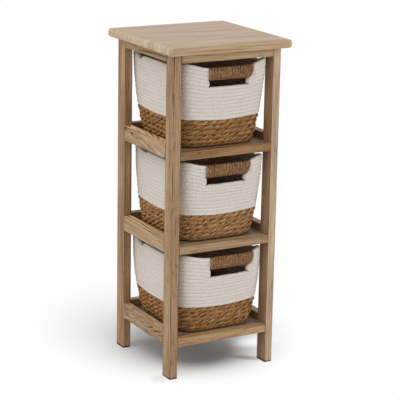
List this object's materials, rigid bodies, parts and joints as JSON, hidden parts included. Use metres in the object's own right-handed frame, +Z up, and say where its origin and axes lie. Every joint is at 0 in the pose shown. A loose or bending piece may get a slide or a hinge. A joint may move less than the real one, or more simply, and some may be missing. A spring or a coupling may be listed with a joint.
{
  "type": "drawer unit",
  "caption": "Narrow open wooden frame with a flat top board and stacked shelves, each holding a pull-out woven basket with a cord-wound handle.",
  "frame": {"origin": "on the floor under the middle of the unit", "axes": "+X to the right seen from the front, +Y towards the back, +Z up; the baskets pull out along -Y"},
  "size_m": [0.319, 0.309, 0.79],
  "materials": {
    "oak": "matte, clear oiled",
    "panel_wood": "matte veneer",
    "dowel_wood": "raw beech",
    "screw_steel": "zinc plated",
    "white_rope": "cotton rope, stitched",
    "brown_braid": "dry braided plant fibre",
    "brown_cord": "dry twisted fibre cord"
  },
  "bodies": {
    "frame": {"top_board": "oak", "post_front_left": "oak", "post_front_right": "oak", "post_back_left": "oak", "post_back_right": "oak", "apron_front": "oak", "apron_back": "oak", "apron_left": "oak", "apron_right": "oak", "bottom_front_rail": "oak", "bottom_back_rail": "oak", "bottom_left_rail": "oak", "bottom_right_rail": "oak", "bottom_shelf_panel": "panel_wood", "middle_front_rail": "oak", "middle_back_rail": "oak", "middle_left_rail": "oak", "middle_right_rail": "oak", "middle_shelf_panel": "panel_wood", "top_front_rail": "oak", "top_back_rail": "oak", "top_left_rail": "oak", "top_right_rail": "oak", "top_shelf_panel": "panel_wood", "left_dowels": "dowel_wood", "right_dowels": "dowel_wood", "front_dowels": "dowel_wood", "back_dowels": "dowel_wood", "board_screws": "screw_steel"},
    "bottom_basket": {"bottom_basket_base": "brown_braid", "bottom_basket_weave": "brown_braid", "bottom_basket_rope": "white_rope", "bottom_basket_handle_wrap": "brown_cord"},
    "middle_basket": {"middle_basket_base": "brown_braid", "middle_basket_weave": "brown_braid", "middle_basket_rope": "white_rope", "middle_basket_handle_wrap": "brown_cord"},
    "top_basket": {"top_basket_base": "brown_braid", "top_basket_weave": "brown_braid", "top_basket_rope": "white_rope", "top_basket_handle_wrap": "brown_cord"}
  },
  "joints": [
    {"name": "bottom_basket_slide", "type": "slide", "parent": "frame", "child": "bottom_basket", "axis": [0, -1, 0], "range_m": [0, 0.2]},
    {"name": "middle_basket_slide", "type": "slide", "parent": "frame", "child": "middle_basket", "axis": [0, -1, 0], "range_m": [0, 0.2]},
    {"name": "top_basket_slide", "type": "slide", "parent": "frame", "child": "top_basket", "axis": [0, -1, 0], "range_m": [0, 0.2]}
  ]
}
